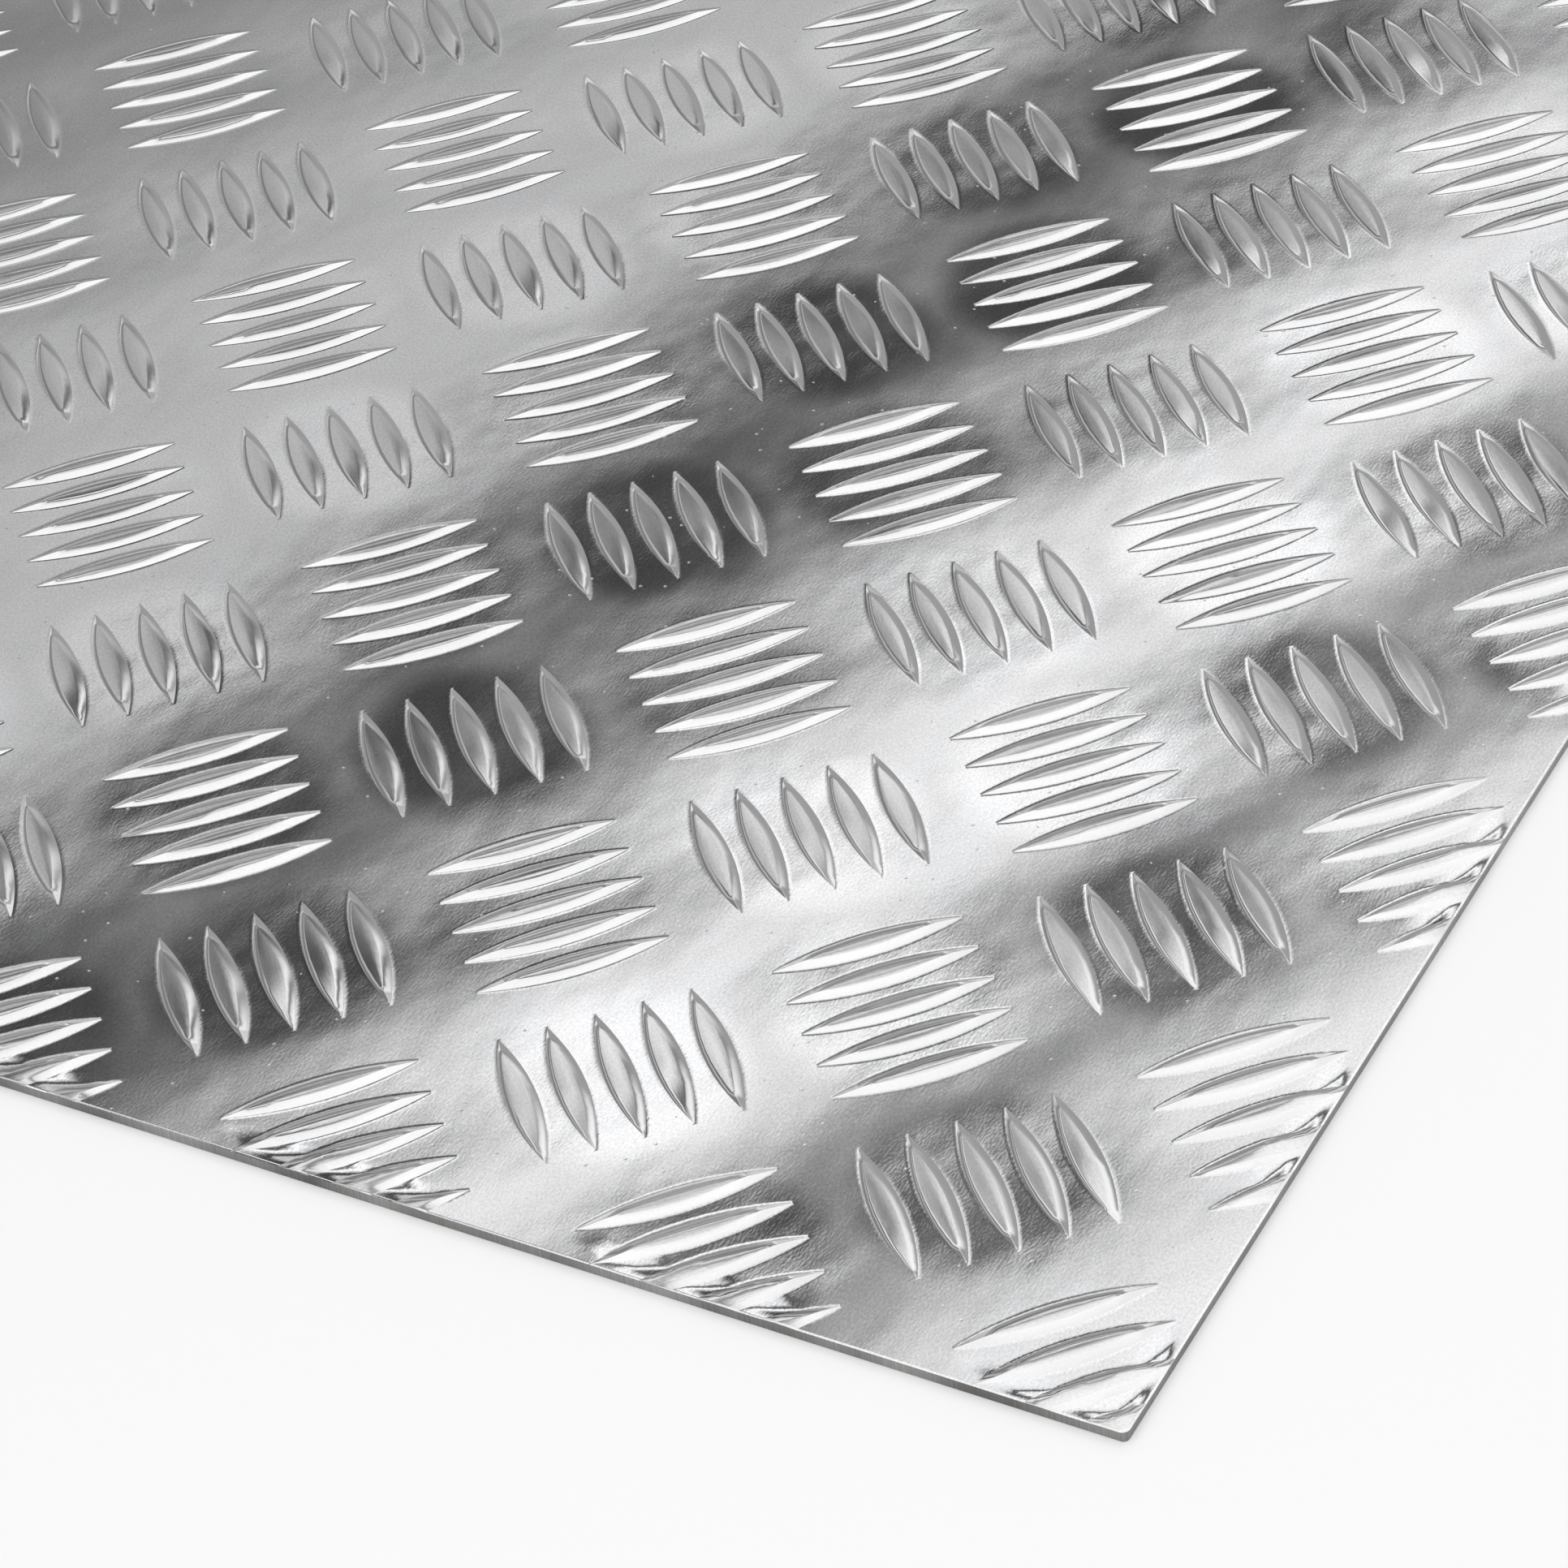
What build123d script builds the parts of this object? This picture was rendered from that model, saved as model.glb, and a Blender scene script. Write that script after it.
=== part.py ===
from build123d import *
import math
import os

# Five-bar aluminium tread plate: one rolled sheet, in millimetres, lying flat.
# +Z is up, the tread bars are on top, and the origin is at the middle of the underside.
# X and Y run along the sheared edges. The bars stand at 45 degrees to them.

# Sheet
sheet_length = 300.0
sheet_width = 300.0
base_thickness = 1.5
corner_radius = 1.0

# Tread pattern: like groups repeat in squares along the edges, with the crosswise groups near
# the middles of those squares. The rows of bars keep to the diagonals, and the bars lean a little.
group_pitch = 45.0
first_group_x = 27.4
first_group_y = 29.1
diagonal_angle = 45.0
bar_spacing = 5.6
bars_per_group = 5
cross_group_slide = 0.2
cross_group_shift = 0.8
up_bar_lean_angle = -1.1
cross_bar_lean_angle = 2.2

# Tread bar: a low lens with pointed ends and a crown narrower than its foot
up_bar_length = 21.4
cross_bar_length = 22.9
bar_width = 3.7
bar_height = 0.5
crown_width = 1.7
station_shares = (-0.5, -0.25, 0.0, 0.25, 0.5)

# Where the shear ran through bars it pressed them down towards the edge.
press_run = 5.0
pressed_height = 0.1


def bar_sections(length):
    """Cross-sections of a bar from tip to tip, all of one shape, as high as they are wide in proportion."""
    arc_radius = ((length / 2) ** 2 + (bar_width / 2) ** 2) / bar_width
    arc_centre = arc_radius - bar_width / 2
    sections = []
    for share in station_shares:
        x = share * length
        size_share = (math.sqrt(arc_radius**2 - x**2) - arc_centre) / (bar_width / 2)
        foot = size_share * bar_width / 2
        crown = size_share * crown_width / 2
        top = size_share * bar_height
        sections.append([(x, -foot, 0), (x, foot, 0), (x, crown, top), (x, -crown, top)])
    return sections


def tread_bar(length):
    """One bar along X with its foot on Z = 0, closed with a flat facet between each two sections."""
    sections = bar_sections(length)
    last = len(sections) - 2
    facets = []
    for i, (near, far) in enumerate(zip(sections, sections[1:])):
        for j in range(len(near)):
            k = (j + 1) % len(near)
            corners = [near[j], near[k], far[k], far[j]]
            if i == 0:
                corners = [near[j], far[k], far[j]]
            if i == last:
                corners = [near[j], near[k], far[j]]
            facets.append(Face(Wire.make_polygon(corners)))
    return Solid(Shell(facets))


def group_centres(first_x, first_y):
    """Centres of the like groups that can reach the sheet, stepping on from the first one."""
    columns = range(-1, math.ceil(sheet_length / group_pitch) + 1)
    rows = range(-1, math.ceil(sheet_width / group_pitch) + 1)
    left = first_x - sheet_length / 2
    front = first_y - sheet_width / 2
    return [(left + i * group_pitch, front + j * group_pitch) for i in columns for j in rows]


def bar_places(first_x, first_y, group_location, lean_angle):
    """A place on the sheet's face for every bar of the groups that lie one way."""
    middle = (bars_per_group - 1) / 2
    row = [Pos(0, (n - middle) * bar_spacing, 0) * Rot(0, 0, lean_angle) for n in range(bars_per_group)]
    places = []
    for x, y in group_centres(first_x, first_y):
        group = Pos(x, y, base_thickness) * group_location
        places += [group * place for place in row]
    return places


def rolled_bars():
    """The bars of the rolled pattern, over the whole sheet and a little past it."""
    half_pitch = group_pitch / 2
    up_bar = tread_bar(up_bar_length)
    cross_bar = tread_bar(cross_bar_length)
    up_group = Rot(0, 0, diagonal_angle)
    cross_group = Rot(0, 0, -diagonal_angle) * Pos(cross_group_slide, -cross_group_shift, 0)
    up_places = bar_places(first_group_x, first_group_y, up_group, up_bar_lean_angle)
    cross_places = bar_places(
        first_group_x + half_pitch, first_group_y + half_pitch, cross_group, cross_bar_lean_angle
    )
    bars = [up_bar.moved(place) for place in up_places]
    bars += [cross_bar.moved(place) for place in cross_places]
    return bars


def edge_room():
    """The space that the shear left for bars: it falls to the pressed height at the sheet's edges."""
    fall = (bar_height - pressed_height) / press_run
    overrun = pressed_height / fall
    blank = Rectangle(sheet_length + 2 * overrun, sheet_width + 2 * overrun)
    taper = 90 - math.degrees(math.atan(fall))
    room = extrude(blank, amount=bar_height + pressed_height, taper=taper)
    outline = extrude(sheet_outline(), amount=bar_height + pressed_height)
    return Pos(0, 0, base_thickness) * (room & outline)


def sheet_outline():
    return RectangleRounded(sheet_length, sheet_width, corner_radius)


def is_clear_of_edges(bar):
    box = bar.bounding_box()
    reach_x = max(-box.min.X, box.max.X)
    reach_y = max(-box.min.Y, box.max.Y)
    return reach_x < sheet_length / 2 - press_run and reach_y < sheet_width / 2 - press_run


def tread_plate():
    """The flat sheet with its whole bars and its pressed and sheared ones, as one solid."""
    bars = rolled_bars()
    whole = [bar for bar in bars if is_clear_of_edges(bar)]
    at_edge = Compound([bar for bar in bars if not is_clear_of_edges(bar)])
    pressed = (edge_room() & at_edge).solids()
    sheet = extrude(sheet_outline(), amount=base_thickness)
    return sheet.solid().fuse(*whole, *pressed)


os.makedirs("parts", exist_ok=True)
export_step(tread_plate(), "parts/tread_plate.step")
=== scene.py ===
import math

import bmesh
import bpy
import numpy as np
from mathutils import Matrix, Vector
from mathutils.geometry import delaunay_2d_cdt


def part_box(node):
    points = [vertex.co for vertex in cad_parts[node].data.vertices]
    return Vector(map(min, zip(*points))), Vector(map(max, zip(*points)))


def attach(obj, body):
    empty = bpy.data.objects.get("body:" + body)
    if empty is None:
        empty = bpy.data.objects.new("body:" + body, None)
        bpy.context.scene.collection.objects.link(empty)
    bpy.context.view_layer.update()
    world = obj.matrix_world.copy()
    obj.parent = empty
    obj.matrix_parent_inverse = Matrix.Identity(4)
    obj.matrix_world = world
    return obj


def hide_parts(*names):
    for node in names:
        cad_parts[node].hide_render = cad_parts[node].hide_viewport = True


# Lengths in this script are millimetres, and MM turns them to the scene's metres.
MM = 0.001

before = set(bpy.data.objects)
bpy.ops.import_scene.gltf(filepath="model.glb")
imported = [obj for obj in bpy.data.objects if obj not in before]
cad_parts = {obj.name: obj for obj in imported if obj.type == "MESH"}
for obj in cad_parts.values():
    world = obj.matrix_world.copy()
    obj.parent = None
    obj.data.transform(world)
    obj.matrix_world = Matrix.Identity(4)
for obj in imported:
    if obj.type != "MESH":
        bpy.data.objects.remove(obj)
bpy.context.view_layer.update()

# The sheet, from its node's box, and the base metal under its bars
sheet_low, sheet_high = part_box("tread_plate")
SHEET_X = (sheet_high[0] - sheet_low[0]) / MM
SHEET_Y = (sheet_high[1] - sheet_low[1]) / MM
GROUND_HEIGHT = 1.39
CORNER_RADIUS = 1.0

# Tread pattern: like groups repeat in squares along the sheet's edges, from the first one's place beside a
# corner, and groups of the other kind sit between them. A kind's row turns its whole group, its lean then
# turns each bar about its own middle, its shift moves the group in its cell, and its bevels are the widths
# of the bevel on one side of a bar and on the other.
PITCH = 45.0
CELL = PITCH / math.sqrt(2)
FROM_CORNER = np.array([27.4, 29.1])
FIRST = FROM_CORNER - np.array([SHEET_X, SHEET_Y]) / 2
SPACING = 5.6
BARS = (-2, -1, 0, 1, 2)
BAR_WIDTH = 3.7
HALF = np.array([PITCH / 2, PITCH / 2])
DIAGONAL = math.radians(45)
KINDS = (
    {
        "length": 21.4, "row": DIAGONAL, "lean": math.radians(-1.1), "cell": np.zeros(2),
        "shift": (0.0, 0.0), "bevels": (1.1, 0.55),
    },
    {
        "length": 22.9, "row": -DIAGONAL, "lean": math.radians(2.2), "cell": HALF,
        "shift": (0.2, -0.8), "bevels": (0.98, 1.1),
    },
)

# Bar section: a bevel on each side up to a flat crown, or to a ridge where the bar is too narrow for one.
# The crown is a little rounded and tilted, and its lower end may fall away from a place along it. A soft
# foot joins the bar to the ground.
BAR_RISE = 0.44
CROWN_ROUND = 0.02
CROWN_TILT = 0.024
CROWN_FALL = 0.004
FALL_START = (-1.0, 12.0)
EDGE_SOFTNESS = 0.012
FOOT_RISE = 0.007
FOOT_REACH = 0.11

# Ground: each group sits in a very shallow dish, and the rolling left faint waves.
# The shading follows the same relief more strongly.
DISH = 0.03
WAVE_HEIGHT = 0.008
WAVE_LENGTHS = (25, 35, 45, 60, 80, 110)
GLINT = 2.2
SEED = 16265
REPEAT = 32

# Sheared edges: bars pressed down, dents between them, and a rolled-over top corner. The dents keep to
# the gaps within GAP_REACH spacings of a group's middle.
PRESS_RUN = 5.0
PRESS_LEFT = 0.12
DENT_DEPTH = 0.12
DENT_PLACE = 2.0
DENT_REACH = 1.2
DENT_END = 3.0
GAP_REACH = 2.2
ROLL_RUN = 0.2
ROLL_DROP = 0.05

# The rim below the tread: how far each level is set in from the edge, and its height
RIM_LEVELS = ((0.0, 0.95), (0.05, 0.9), (0.03, 0.06), (0.1, 0.0))

# Mesh density: rows of points along a bar, strips across it with narrow ones where the crown turns into
# the bevels, a ring round it, and squares between the groups. The strips narrow with the bar towards its
# tips. The rows beside the sheet's edges lie at EDGE_CUTS inside them.
STATIONS = 8
RIDGE_WIDTH = 0.12
RIDGE_SHARE = 0.6
BEND_SHARE = 1 / 3
CROWN_STRIPS = (2, 3)
SPARE_CELLS = 2
RING_GROWTH = 1.1
RING_CLEARANCE = 0.8
SIDE_SEGMENTS = 12
EDGE_CUTS = (0.12, 0.3, 0.7, 1.2, 2.0, 3.0, 4.2)
EDGE_ZONE = 12.0
CORNER_CUTS = 5

# Points closer than these become one: in a cell, at a cut, and from cell to cell
MERGE = 1e-6
CUT_MERGE = 1e-4
WELD = 0.002

# Shading normals are read over a short step, and a bar's just inside its outline
NORMAL_STEP = 0.01
PULL_IN = 0.97

# Regions of the sheet, in the order of their materials
GROUND, BAR, CROWN, SIDE = 0, 1, 2, 3

# Finishes: dark and light tone, range of roughness, share of the fine grain that mottles them, and bumps
# as scale per millimetre, detail and depth. The open ground is duller than the dishes.
CLOUD_SCALE = (0.04, 0.07)
CLOUD_DETAIL = 3
GRAIN_SCALE = (2.2, 3.6)
GRAIN_DETAIL = 4
NOISE_RANGE = (0.3, 0.7)
DISH_EDGE = (10.0, 17.0)
OPEN_DULLNESS = 0.06
PIT_SPACING = 3.2
PIT_SIZE = (0.03, 0.07)
PIT_DEPTH = 0.02
ROLLED_FACE = (
    (0.89, 0.895, 0.91), (0.97, 0.97, 0.975), (0.04, 0.09), 0.2,
    (((0.06, 0.085), 2, 0.07), ((0.35, 0.4), 2, 0.005), ((1.8, 3.2), 4, 0.0038)),
)
BAR_FACE = (
    (0.8, 0.8, 0.805), (0.88, 0.88, 0.88), (0.08, 0.16), 0.04,
    (((0.3, 1.1), 2, 0.004), ((0.4, 5.0), 2, 0.0015)),
)
CROWN_FACE = (
    (0.8, 0.8, 0.805), (0.9, 0.9, 0.9), (0.09, 0.2), 0.12,
    (((0.2, 1.1), 2, 0.008), ((0.3, 4.0), 3, 0.003)),
)
SHEARED_SIDE = (
    (0.16, 0.157, 0.153), (0.46, 0.455, 0.45), (0.3, 0.5), 0.3,
    (((0.7, 4), 3, 0.03),),
)

# Studio: the canopy's brightness by place across its bands, from over the sheet's middle. Far to one side
# it fades over into bands of its own, and the floor has a little light that only shows to the camera and
# in reflections.
WHITE = (1, 1, 1, 1)
WORLD_LEVEL = 1.0
FLOOR_REACH = 3000
CANOPY_HEIGHT = 1000
CANOPY_REACH = 9000
CANOPY_TURN = 9.0
CANOPY_BANDS = (
    (-1500, 0.7), (-700, 0.95), (-250, 1.12), (0, 1.18), (320, 1.1), (440, 0.95), (475, 0.82), (495, 0.55),
    (512, 0.16), (530, 0.05), (562, 0.06), (585, 0.38), (605, 0.82), (635, 1.2), (675, 1.27), (700, 0.93),
    (755, 0.5), (780, 0.32), (800, 0.12), (840, 0.06), (910, 0.05), (938, 0.14), (962, 0.4), (1020, 0.8),
    (1070, 0.58), (1180, 0.52), (1260, 0.35), (1500, 0.25), (2200, 0.2), (2700, 0.6), (3300, 0.2),
    (4200, 0.45),
)
CANOPY_END = (700, 1150)
CANOPY_END_BANDS = (
    (700, 0.38), (2400, 0.38), (3000, 0.3), (3400, 0.9), (3800, 0.5), (4300, 0.15), (5000, 0.5)
)
FLOOR_LIFT = 0.2
FLOOR_TONE = 0.95

# The camera stands where the photographed corner and its pattern look as they do in the photo
CAMERA_LENS = 125.66
CAMERA_SENSOR = 36
CAMERA_CLIP_END = 20
CAMERA_PLACE = (-495.08, -327.59, 403.28)
CAMERA_TURN = (50.884, 4.493, -62.295)


def turned(points, angle):
    """Flat points turned about the origin."""
    c, s = math.cos(angle), math.sin(angle)
    return points @ np.array([[c, s], [-s, c]])


def half_width(along, length, width=BAR_WIDTH):
    """Half the lens's width at a distance along it from its middle; below zero past its tips."""
    arc = ((length / 2) ** 2 + (width / 2) ** 2) / width
    inside = np.minimum(np.abs(along), length / 2)
    past = np.abs(along) - inside
    return np.sqrt(arc**2 - inside**2) - (arc - width / 2) - past


def stations(length):
    """Places along a lens from tip to tip, closer together at the tips."""
    turn = np.linspace(-math.pi / 2, math.pi / 2, 2 * STATIONS + 1)
    return np.sin(turn) * length / 2


def lens_outline(length, width):
    """Points round a lens, from one tip along one side and back along the other."""
    along = stations(length)
    side = half_width(along, length, width)
    upper = np.stack([along, side], 1)
    lower = np.stack([along, -side], 1)
    return np.concatenate([upper, lower[-2:0:-1]])


def lens_patch(kind):
    """Points, faces and regions of one bar, as rows across it between its two tips."""
    length = kind["length"]
    right, left = kind["bevels"]
    points, faces, regions = [(-length / 2, 0.0)], [], []
    for along in stations(length)[1:-1]:
        side = float(half_width(along, length))
        ridge = side * (right - left) / (right + left)
        width = min(RIDGE_WIDTH, side * RIDGE_SHARE)
        low = min(right - side, ridge - width / 2)
        high = max(side - left, ridge + width / 2)
        bend = width * BEND_SHARE
        places = (-side, low - bend, low, (low + high) / 2, high, high + bend, side)
        points += [(along, place) for place in places]
    points.append((length / 2, 0.0))
    n = len(places)
    rows = 2 * STATIONS - 1
    for j in range(n - 1):
        faces.append((j + 1, j + 2, 0))
        for i in range(rows - 1):
            a = 1 + i * n + j
            faces.append((a, a + n, a + n + 1, a + 1))
        a = 1 + (rows - 1) * n + j
        faces.append((a, len(points) - 1, a + 1))
        regions += [CROWN if j in CROWN_STRIPS else BAR] * (rows + 1)
    return np.array(points), faces, regions


def bar_middles(kind):
    """The middles of a group's bars from the middle of its cell: their row keeps to the diagonal."""
    row = np.array([(0.0, k * SPACING) for k in BARS]) + kind["shift"]
    return turned(row, kind["row"])


def cell_border():
    """Points round a cell, which fall on those of the cells beside it."""
    ends = np.linspace(-CELL / 2, CELL / 2, SIDE_SEGMENTS + 1)
    low = np.full(SIDE_SEGMENTS, -CELL / 2)
    border = np.concatenate([
        np.stack([ends[:-1], low], 1),
        np.stack([-low, ends[:-1]], 1),
        np.stack([ends[:0:-1], -low], 1),
        np.stack([low, ends[:0:-1]], 1),
    ])
    return turned(border, DIAGONAL)


def open_places(kind, bars):
    """A square grid of points over a cell, clear of the rings round its bars."""
    inner = np.linspace(-CELL / 2, CELL / 2, SIDE_SEGMENTS + 1)[1:-1]
    grid = turned(np.stack(np.meshgrid(inner, inner), -1).reshape(-1, 2), DIAGONAL)
    clear = np.ones(len(grid), bool)
    for place in bars:
        along, side = turned(grid - place, -kind["row"] - kind["lean"]).T
        room = half_width(along, kind["length"] + 2 * RING_GROWTH, BAR_WIDTH + RING_GROWTH)
        clear &= room - np.abs(side) < -RING_CLEARANCE
    return grid[clear]


def in_a_bar(point, kind, bars):
    """Whether a point of a cell lies on one of its bars."""
    places = [turned(point - place, -kind["row"] - kind["lean"]) for place in bars]
    return any(half_width(along, kind["length"]) > abs(side) for along, side in places)


def cell_template(kind):
    """Flat points, faces and face regions of one square lattice cell with its group of five bars."""
    length, angle = kind["length"], kind["row"] + kind["lean"]
    bars = bar_middles(kind)
    outline = turned(lens_outline(length, BAR_WIDTH), angle)
    ring = turned(lens_outline(length + 2 * RING_GROWTH, BAR_WIDTH + RING_GROWTH), angle)
    loops = [cell_border(), *(outline + place for place in bars), *(ring + place for place in bars)]
    edges, count = [], 0
    for loop in loops:
        edges += [(count + i, count + (i + 1) % len(loop)) for i in range(len(loop))]
        count += len(loop)
    flat = np.concatenate([*loops, open_places(kind, bars)])
    done = delaunay_2d_cdt([Vector(p) for p in flat], edges, [], 1, MERGE)
    where = np.array([tuple(v) for v in done[0]])
    faces = [tuple(face) for face in done[2] if not in_a_bar(where[list(face)].mean(0), kind, bars)]
    regions = [GROUND] * len(faces)
    patch, patch_faces, patch_regions = lens_patch(kind)
    points, count = [where], len(where)
    for place in bars:
        points.append(turned(patch, angle) + place)
        faces += [tuple(count + i for i in face) for face in patch_faces]
        regions += patch_regions
        count += len(patch)
    return np.concatenate(points), faces, regions


def flat_pattern():
    """The whole pattern laid flat: cells of both kinds over the sheet and past its edges."""
    points, faces, regions, count = [], [], [], 0
    for kind in KINDS:
        cell, cell_faces, cell_regions = cell_template(kind)
        reach = CELL / math.sqrt(2)
        start = FIRST + kind["cell"]
        for i in range(-SPARE_CELLS, int(SHEET_X / PITCH) + SPARE_CELLS):
            for j in range(-SPARE_CELLS, int(SHEET_Y / PITCH) + SPARE_CELLS):
                centre = start + np.array([i, j]) * PITCH
                if abs(centre[0]) > SHEET_X / 2 + reach or abs(centre[1]) > SHEET_Y / 2 + reach:
                    continue
                points.append(cell + centre)
                faces += [tuple(count + k for k in face) for face in cell_faces]
                regions += cell_regions
                count += len(cell)
    return np.concatenate(points), faces, regions


def cut(bm, geometry, place, outward, clear):
    """Cuts the geometry along a plane, and takes away what is past it if clear is true."""
    done = bmesh.ops.bisect_plane(
        bm, geom=geometry, dist=CUT_MERGE, plane_co=place, plane_no=outward, clear_outer=clear
    )
    return done["geom"]


def near(bm, outward, reach):
    """Everything that lies further out than a distance from the middle."""
    faces = [f for f in bm.faces if f.verts[0].co.dot(outward) > reach]
    edges = dict.fromkeys(e for f in faces for e in f.edges)
    verts = dict.fromkeys(v for f in faces for v in f.verts)
    return [*verts, *edges, *faces]


def trim_to_sheet(bm):
    """Cuts the pattern to the sheared outline, and adds rows of points beside its edges."""
    half = (SHEET_X / 2, SHEET_Y / 2)
    for axis in (0, 1):
        for sign in (-1, 1):
            outward = Vector((0, 0, 0))
            outward[axis] = sign
            geometry = near(bm, outward, half[axis] - EDGE_ZONE)
            geometry = cut(bm, geometry, outward * half[axis], outward, True)
            for depth in EDGE_CUTS:
                geometry = cut(bm, geometry, outward * (half[axis] - depth), outward, False)
    for sx in (-1, 1):
        for sy in (-1, 1):
            middle = Vector((sx * (half[0] - CORNER_RADIUS), sy * (half[1] - CORNER_RADIUS), 0))
            for step in range(CORNER_CUTS):
                angle = math.pi / 2 * (step + 0.5) / CORNER_CUTS
                outward = Vector((sx * math.cos(angle), sy * math.sin(angle), 0))
                geometry = near(bm, outward, middle.dot(outward) - EDGE_ZONE)
                cut(bm, geometry, middle + outward * CORNER_RADIUS, outward, True)


def edge_distance(xy):
    """How far inside the sheared outline each point lies."""
    past = np.abs(xy) - (np.array([SHEET_X, SHEET_Y]) / 2 - CORNER_RADIUS)
    outside = np.hypot(*np.maximum(past, 0).T)
    return CORNER_RADIUS - outside - np.minimum(past.max(1), 0)


def smooth(t):
    """A soft step from 0 to 1."""
    t = np.clip(t, 0, 1)
    return t * t * (3 - 2 * t)


def nearest_bars(xy):
    """For each point: the room it has inside the nearest bar, its place along and across that bar, the
    bar's middle, its crown's tilt and fall, how far up a bevel it is, and how far it is into a gap."""
    count = len(xy)
    found = {
        "room": np.full(count, -np.inf), "along": np.zeros(count), "side": np.zeros(count),
        "middle": np.zeros((count, 2)), "tilt": np.zeros(count), "fall": np.zeros(count),
        "bevel": np.zeros(count),
    }
    gap = np.zeros(count)
    for kind, tilts, falls in zip(KINDS, crown_tilts, crown_falls):
        offset = xy - FIRST - kind["cell"]
        cell = np.round(offset / PITCH)
        local = turned(offset - cell * PITCH, -kind["row"]) - kind["shift"]
        index = np.clip(np.round(local[:, 1] / SPACING), BARS[0], BARS[-1])
        from_middle = turned(local - np.stack([np.zeros(count), index * SPACING], 1), -kind["lean"])
        along, side = from_middle.T
        width = half_width(along, kind["length"])
        place = (*(cell.astype(int) % len(tilts)).T, (index - BARS[0]).astype(int))
        here = {
            "room": width - np.abs(side), "along": along, "side": side,
            "middle": xy - turned(from_middle, kind["row"] + kind["lean"]),
            "tilt": tilts[place], "fall": falls[place],
            "bevel": np.minimum((width + side) / kind["bevels"][0], (width - side) / kind["bevels"][1]),
        }
        nearer = here["room"] > found["room"]
        for name, values in here.items():
            choose = nearer[:, None] if values.ndim == 2 else nearer
            found[name] = np.where(choose, values, found[name])
        across = 0.5 - 0.5 * np.cos(2 * math.pi * local[:, 1] / SPACING)
        within = smooth((SPACING * GAP_REACH - np.abs(local[:, 1])) / (SPACING / 2))
        within = within * smooth((kind["length"] / 2 - np.abs(local[:, 0])) / DENT_END)
        gap = np.maximum(gap, across * within)
    found["gap"] = gap
    return found


def soft_least(a, b, softness):
    """The lesser of two heights, with a soft turn where they meet."""
    return -softness * np.log(np.exp(-a / softness) + np.exp(-b / softness))


def bar_height(bars):
    """Height of the bars above their foot, by the way up their bevels and the place on their crown."""
    bevel = np.maximum(bars["bevel"], -1) * BAR_RISE
    crown = BAR_RISE - CROWN_ROUND * bars["side"] ** 2 + bars["tilt"] * bars["side"]
    fallen = CROWN_FALL * np.maximum(-bars["along"] - bars["fall"], 0) ** 2
    return soft_least(bevel, crown - fallen, EDGE_SOFTNESS)


def ground_waves(xy):
    """The ground's relief: the groups' dishes and the waves."""
    offset = (xy - FIRST) * 2 * math.pi / PITCH
    height = -DISH * np.cos(offset[:, 0]) * np.cos(offset[:, 1])
    for length, heading, start in waves:
        phase = 2 * math.pi * (xy @ np.array([math.cos(heading), math.sin(heading)])) / length
        height = height + WAVE_HEIGHT * np.sin(phase + start)
    return height


def surface(xy, region, glint=1.0):
    """Height of the tread face in one region, bars or ground, at each point. A glint over one makes the
    ground's relief stronger."""
    depth = edge_distance(xy)
    bars = nearest_bars(xy)
    height = GROUND_HEIGHT + ground_waves(xy) * glint
    press = PRESS_LEFT + (1 - PRESS_LEFT) * smooth(depth / PRESS_RUN)
    if region == BAR:
        raised = FOOT_RISE + bar_height(bars)
    else:
        raised = FOOT_RISE * np.exp(np.minimum(bars["room"], FOOT_REACH / 2) / FOOT_REACH)
    height = height + raised * press
    dent = np.exp(-(((depth - DENT_PLACE) / DENT_REACH) ** 2))
    height = height - DENT_DEPTH * bars["gap"] * dent
    roll = np.clip(1 - depth / ROLL_RUN, 0, 1)
    return height - ROLL_DROP * roll**2


def surface_normals(xy, region):
    """The way the tread face looks at each point, for its shading."""
    if region == BAR:
        middle = nearest_bars(xy)["middle"]
        xy = middle + (xy - middle) * PULL_IN
    x_step, y_step = np.eye(2) * NORMAL_STEP
    dx = surface(xy + x_step, region, GLINT) - surface(xy - x_step, region, GLINT)
    dy = surface(xy + y_step, region, GLINT) - surface(xy - y_step, region, GLINT)
    normal = np.stack([-dx, -dy, np.full(len(xy), 2 * NORMAL_STEP)], 1)
    return normal / np.linalg.norm(normal, axis=1, keepdims=True)


def add_rim(bm):
    """Closes the sheet with its sheared side and flat underside."""
    border = [e for e in bm.edges if e.is_boundary]
    for inset, level in RIM_LEVELS:
        made = bmesh.ops.extrude_edge_only(bm, edges=border)["geom"]
        border = [g for g in made if isinstance(g, bmesh.types.BMEdge)]
        for face in (g for g in made if isinstance(g, bmesh.types.BMFace)):
            face.material_index = SIDE
            face.smooth = False
        for vert in {v for e in border for v in e.verts}:
            vert.co.x = math.copysign(min(abs(vert.co.x), SHEET_X / 2 - inset), vert.co.x)
            vert.co.y = math.copysign(min(abs(vert.co.y), SHEET_Y / 2 - inset), vert.co.y)
            vert.co.z = level
    made = bmesh.ops.edgeloop_fill(bm, edges=border, mat_nr=GROUND, use_smooth=False)
    bmesh.ops.triangulate(bm, faces=made["faces"])
    bmesh.ops.recalc_face_normals(bm, faces=bm.faces[:])


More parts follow.
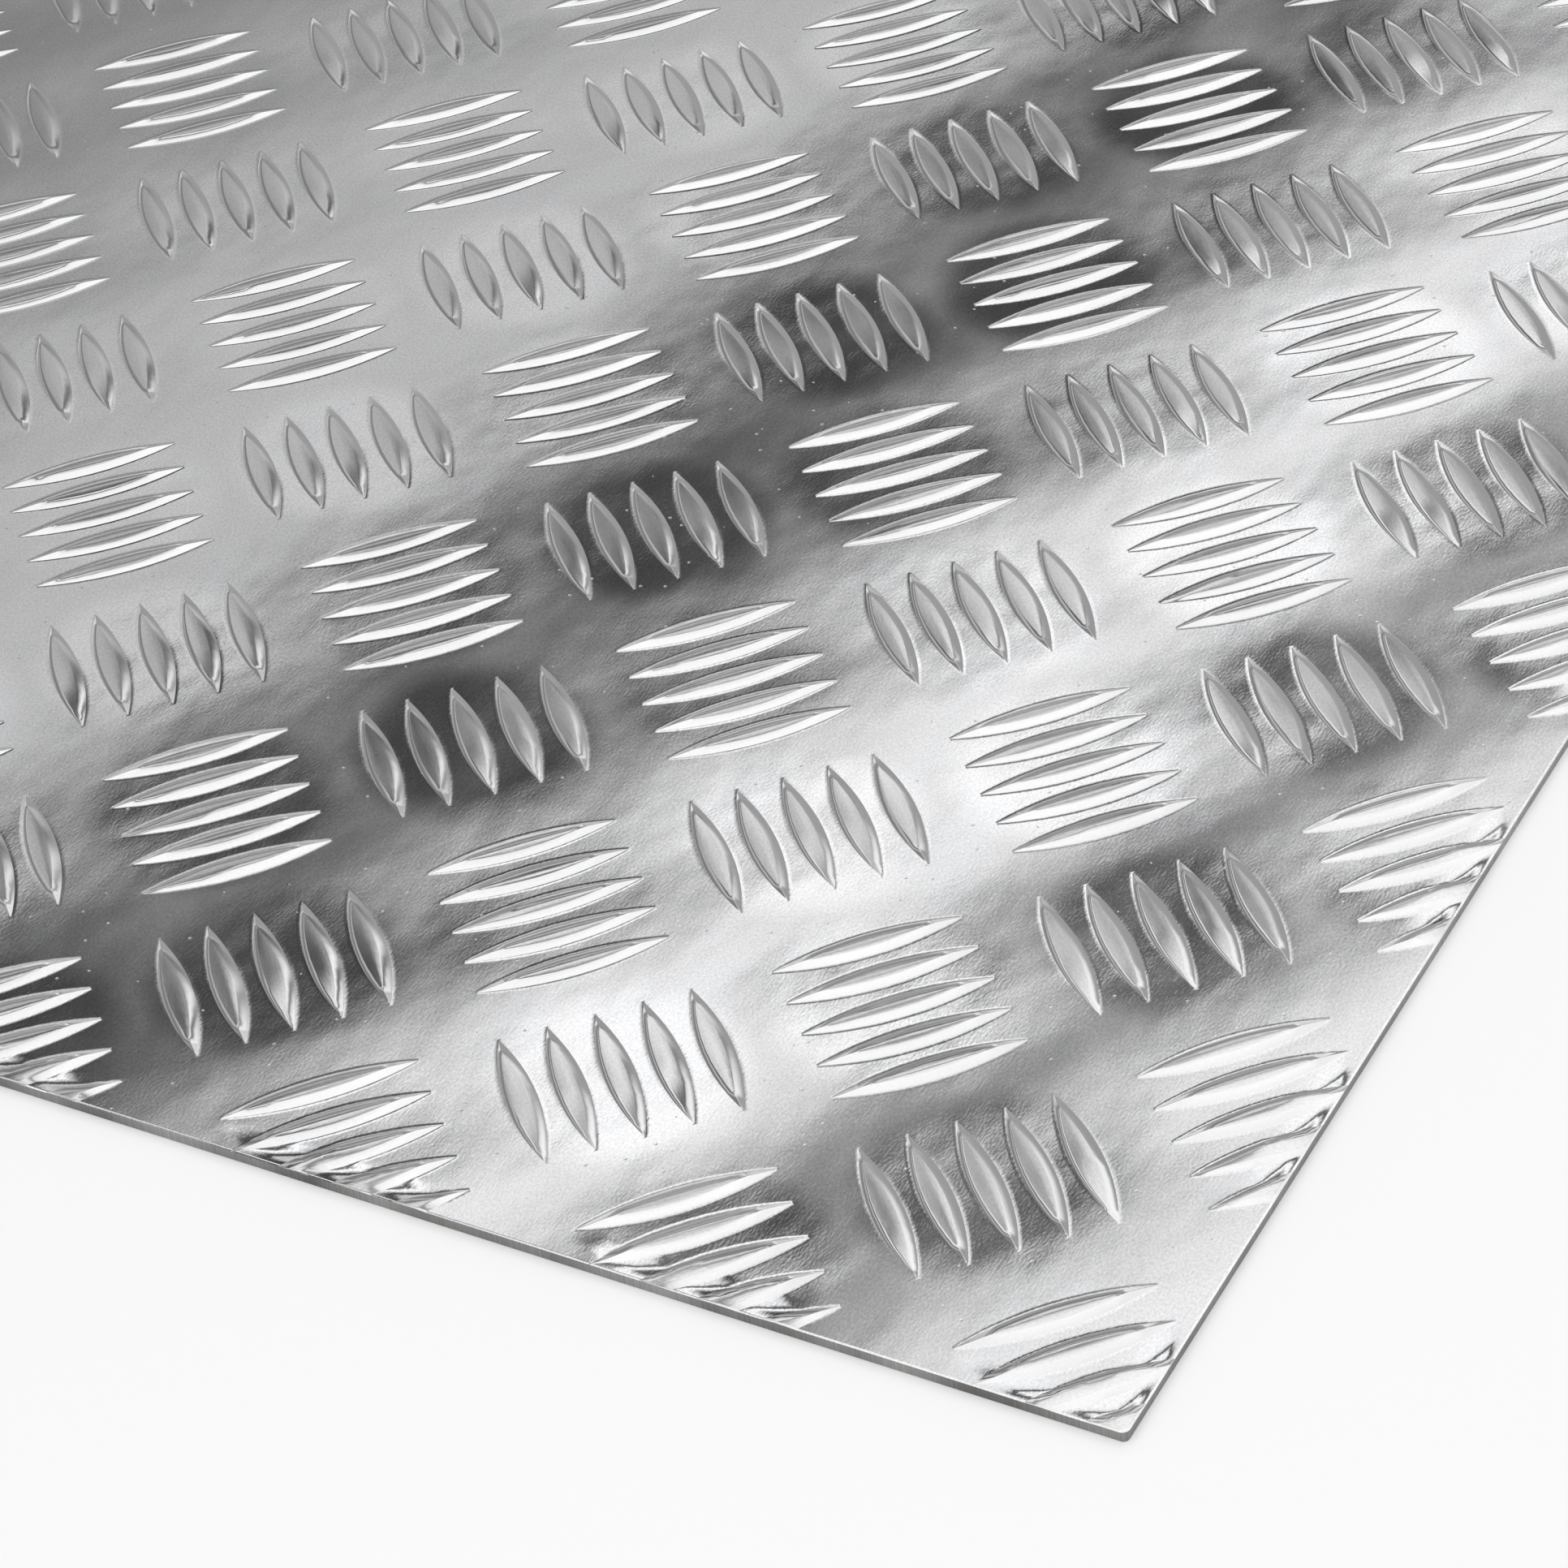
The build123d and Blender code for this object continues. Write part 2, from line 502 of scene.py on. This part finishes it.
def tread_mesh():
    """The sheet's closed mesh: the flat pattern trimmed, raised and given its rim."""
    points, faces, regions = flat_pattern()
    mesh = bpy.data.meshes.new("tread_plate")
    mesh.from_pydata([(x, y, GROUND_HEIGHT) for x, y in points], [], faces)
    mesh.polygons.foreach_set("material_index", regions)
    bm = bmesh.new()
    bm.from_mesh(mesh)
    bmesh.ops.remove_doubles(bm, verts=bm.verts[:], dist=WELD)
    trim_to_sheet(bm)
    bm.verts.ensure_lookup_table()
    xy = np.array([(v.co.x, v.co.y) for v in bm.verts])
    height = surface(xy, GROUND)
    in_bar = np.zeros(len(xy), bool)
    for face in bm.faces:
        face.smooth = True
        if face.material_index in (BAR, CROWN):
            for vert in face.verts:
                in_bar[vert.index] = True
    height = np.where(in_bar, surface(xy, BAR), height)
    for vert, z in zip(bm.verts, height):
        vert.co.z = z
    add_rim(bm)
    bm.to_mesh(mesh)
    bm.free()
    return mesh


def read(items, name, kind, width=1):
    """One attribute of a mesh's items, as an array."""
    values = np.empty(len(items) * width, kind)
    items.foreach_get(name, values)
    return values


def finish_mesh(mesh):
    """Gives every face corner the normal of its region, and a place along and across its bar."""
    xy = read(mesh.vertices, "co", float, 3).reshape(-1, 3)[:, :2]
    verts = read(mesh.loops, "vertex_index", int)
    sizes = read(mesh.polygons, "loop_total", int)
    regions = read(mesh.polygons, "material_index", int)
    rolled = read(mesh.polygons, "use_smooth", bool)
    region_of_loop = np.where(np.repeat(rolled, sizes), np.repeat(regions, sizes), SIDE)
    normals = np.zeros((len(verts), 3))
    for region, material in ((GROUND, GROUND), (BAR, BAR), (BAR, CROWN)):
        here = region_of_loop == material
        normals[here] = surface_normals(xy, region)[verts[here]]
    bars = nearest_bars(xy)
    on_bar = np.stack([bars["along"], bars["side"]], 1) + np.round(bars["middle"])
    in_bar = (region_of_loop == BAR) | (region_of_loop == CROWN)
    place = np.where(in_bar[:, None], on_bar[verts], xy[verts])
    uv = mesh.uv_layers.new(name="rolled")
    uv.data.foreach_set("uv", place.reshape(-1))
    mesh.transform(Matrix.Scale(MM, 4))
    mesh.normals_split_custom_set(normals.tolist())


def fill(tree, node, values):
    """Sets a node's inputs to values, or links them to the outputs of other nodes."""
    for name, value in values.items():
        if isinstance(value, bpy.types.NodeSocket):
            tree.links.new(value, node.inputs[name])
        else:
            node.inputs[name].default_value = value


def add(tree, kind, values, **settings):
    """A new node with its settings and inputs."""
    node = tree.nodes.new("ShaderNode" + kind)
    for name, setting in settings.items():
        setattr(node, name, setting)
    fill(tree, node, values)
    return node


def maths(tree, kind, operation, *values):
    """The outputs of a sum of numbers or of vectors."""
    return add(tree, kind, dict(enumerate(values)), operation=operation).outputs


def ranged(tree, source, low, high, ends=(0, 1), **settings):
    """A value that runs from low to high, spread over new ends."""
    values = {"Value": source, "From Min": low, "From Max": high, "To Min": ends[0], "To Max": ends[1]}
    return add(tree, "MapRange", values, **settings).outputs["Result"]


def mix(tree, share, first, second, **settings):
    """Two colours mixed by a share."""
    values = {"Factor": share, "A": first, "B": second}
    return add(tree, "Mix", values, data_type="RGBA", **settings).outputs["Result"]


def rolled_place(tree):
    """Places on the ground, or along and across a bar, in millimetres."""
    return add(tree, "UVMap", {}, uv_map="rolled").outputs["UV"]


def noise(tree, scale, detail):
    """Noise over the rolled face, with its scale both ways, per millimetre."""
    place = add(tree, "Mapping", {"Vector": rolled_place(tree), "Scale": (*scale, 1)}).outputs["Vector"]
    return add(tree, "TexNoise", {"Vector": place, "Scale": 1, "Detail": detail}).outputs["Fac"]


def bump(tree, height, depth, before):
    """A bump of a depth in millimetres, on top of the one before it."""
    values = {"Height": height, "Distance": depth * MM}
    if before is not None:
        values["Normal"] = before
    return add(tree, "Bump", values).outputs["Normal"]


def bumps(tree, layers):
    """Chained bumps, one for each noise and its depth."""
    relief = None
    for scale, detail, depth in layers:
        relief = bump(tree, noise(tree, scale, detail), depth, relief)
    return relief


def pits(tree, before):
    """A few small pits over the ground, on top of the bumps before them."""
    cells = add(tree, "TexVoronoi", {"Vector": rolled_place(tree), "Scale": 1 / PIT_SPACING})
    wall = ranged(tree, cells.outputs["Distance"], *PIT_SIZE, interpolation_type="SMOOTHSTEP")
    return bump(tree, wall, PIT_DEPTH, before)


def open_ground(tree):
    """One on the open ground between the groups, and zero among their bars."""
    place = rolled_place(tree)
    reaches = []
    for kind in KINDS:
        middle = (*(FIRST + kind["cell"]), 0)
        offset = maths(tree, "VectorMath", "SUBTRACT", place, middle)["Vector"]
        ends = (PITCH / 2,) * 3, (-PITCH / 2,) * 3
        wrapped = maths(tree, "VectorMath", "WRAP", offset, *ends)["Vector"]
        reaches.append(maths(tree, "VectorMath", "LENGTH", wrapped)["Value"])
    nearest = maths(tree, "Math", "MINIMUM", *reaches)["Value"]
    return ranged(tree, nearest, *DISH_EDGE, interpolation_type="SMOOTHSTEP")


def metal(name, dark, light, roughness, grain, layers, dullness=0):
    """Aluminium whose colour and roughness drift a little over the sheet. With a dullness it has pits,
    and is rougher by that much on the open ground."""
    material = bpy.data.materials.new(name)
    material.use_nodes = True
    tree = material.node_tree
    cloud = noise(tree, CLOUD_SCALE, CLOUD_DETAIL)
    shade = mix(tree, ranged(tree, cloud, *NOISE_RANGE), (*dark, 1), (*light, 1))
    speckle = ranged(tree, noise(tree, GRAIN_SCALE, GRAIN_DETAIL), *NOISE_RANGE)
    colour = mix(tree, grain, shade, speckle, blend_type="MULTIPLY")
    rough = ranged(tree, cloud, *NOISE_RANGE, roughness)
    relief = bumps(tree, layers)
    if dullness:
        relief = pits(tree, relief)
        rough = maths(tree, "Math", "MULTIPLY_ADD", open_ground(tree), dullness, rough)["Value"]
    finish = {"Metallic": 1, "Base Color": colour, "Roughness": rough, "Normal": relief}
    fill(tree, tree.nodes["Principled BSDF"], finish)
    return material


def plate():
    """The tread plate with its finishes."""
    mesh = tread_mesh()
    finish_mesh(mesh)
    piece = bpy.data.objects.new("tread_plate_rolled", mesh)
    bpy.context.scene.collection.objects.link(piece)
    mesh.materials.append(metal("rolled_face", *ROLLED_FACE, OPEN_DULLNESS))
    mesh.materials.append(metal("bar_face", *BAR_FACE))
    mesh.materials.append(metal("crown_face", *CROWN_FACE))
    mesh.materials.append(metal("sheared_side", *SHEARED_SIDE))
    return piece


def new_stage(name, corners):
    """A flat piece of the studio with a material of its own."""
    mesh = bpy.data.meshes.new(name)
    mesh.from_pydata([Vector(c) * MM for c in corners], [], [range(len(corners))])
    piece = bpy.data.objects.new(name, mesh)
    bpy.context.scene.collection.objects.link(piece)
    material = bpy.data.materials.new(name)
    material.use_nodes = True
    mesh.materials.append(material)
    return piece, material.node_tree


def square(reach, height):
    """Corners of a level square round the origin."""
    return [(x * reach, y * reach, height) for x, y in ((-1, -1), (1, -1), (1, 1), (-1, 1))]


def turned_place(tree, angle):
    """X and Y over the canopy, turned by an angle."""
    place = add(tree, "TexCoord", {}).outputs["Object"]
    turn = add(tree, "Mapping", {"Vector": place, "Rotation": (0, 0, angle)}).outputs["Vector"]
    return add(tree, "SeparateXYZ", {"Vector": turn}).outputs


def bands(tree, place, stops):
    """Levels of grey by a place over the canopy."""
    first, last = stops[0][0], stops[-1][0]
    ramp = add(tree, "ValToRGB", {"Fac": ranged(tree, place, first * MM, last * MM)})
    elements = ramp.color_ramp.elements
    for y, _ in stops[1:-1]:
        elements.new((y - first) / (last - first))
    for element, (_, level) in zip(elements, stops):
        element.color = (level, level, level, 1)
    return ramp.outputs["Color"]


def canopy():
    """The studio's ceiling: broad soft bands of light along X, and duller ones far to one side."""
    piece, tree = new_stage("canopy", square(CANOPY_REACH, CANOPY_HEIGHT))
    piece.visible_camera = False
    tree.nodes.clear()
    across = turned_place(tree, math.radians(CANOPY_TURN))["Y"]
    aside = turned_place(tree, DIAGONAL)["X"]
    near_end, far_end = CANOPY_END
    share = ranged(tree, aside, near_end * MM, far_end * MM)
    light = mix(tree, share, bands(tree, across, CANOPY_BANDS), bands(tree, aside, CANOPY_END_BANDS))
    glow = add(tree, "Emission", {"Color": light}).outputs["Emission"]
    add(tree, "OutputMaterial", {"Surface": glow})


def studio():
    """Even light all round, a plain pale floor and the canopy."""
    world = bpy.data.worlds.new("studio")
    bpy.context.scene.world = world
    world.use_nodes = True
    sky = world.node_tree
    fill(sky, sky.nodes["Background"], {"Color": WHITE, "Strength": WORLD_LEVEL})
    _, tree = new_stage("floor", square(FLOOR_REACH, 0))
    rays = add(tree, "LightPath", {}).outputs
    seen = maths(tree, "Math", "MAXIMUM", rays["Is Camera Ray"], rays["Is Glossy Ray"])["Value"]
    lift = maths(tree, "Math", "MULTIPLY", seen, FLOOR_LIFT)["Value"]
    tone = (FLOOR_TONE, FLOOR_TONE, FLOOR_TONE, 1)
    finish = {"Base Color": tone, "Emission Color": WHITE, "Emission Strength": lift}
    fill(tree, tree.nodes["Principled BSDF"], finish)
    canopy()


def camera():
    data = bpy.data.cameras.new("camera")
    data.lens = CAMERA_LENS
    data.sensor_width = CAMERA_SENSOR
    data.clip_end = CAMERA_CLIP_END
    made = bpy.data.objects.new("camera", data)
    made.location = Vector(CAMERA_PLACE) * MM
    made.rotation_euler = [math.radians(angle) for angle in CAMERA_TURN]
    bpy.context.scene.collection.objects.link(made)
    bpy.context.scene.camera = made


random = np.random.default_rng(SEED)
waves = [(length, random.uniform(0, math.pi), random.uniform(0, 2 * math.pi)) for length in WAVE_LENGTHS]
crown_tilts = random.uniform(-CROWN_TILT, CROWN_TILT, (len(KINDS), REPEAT, REPEAT, len(BARS)))
crown_falls = random.uniform(*FALL_START, (len(KINDS), REPEAT, REPEAT, len(BARS)))

bpy.context.scene.view_settings.view_transform = "Standard"
camera()
studio()
piece = plate()
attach(piece, "root")
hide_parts("tread_plate")
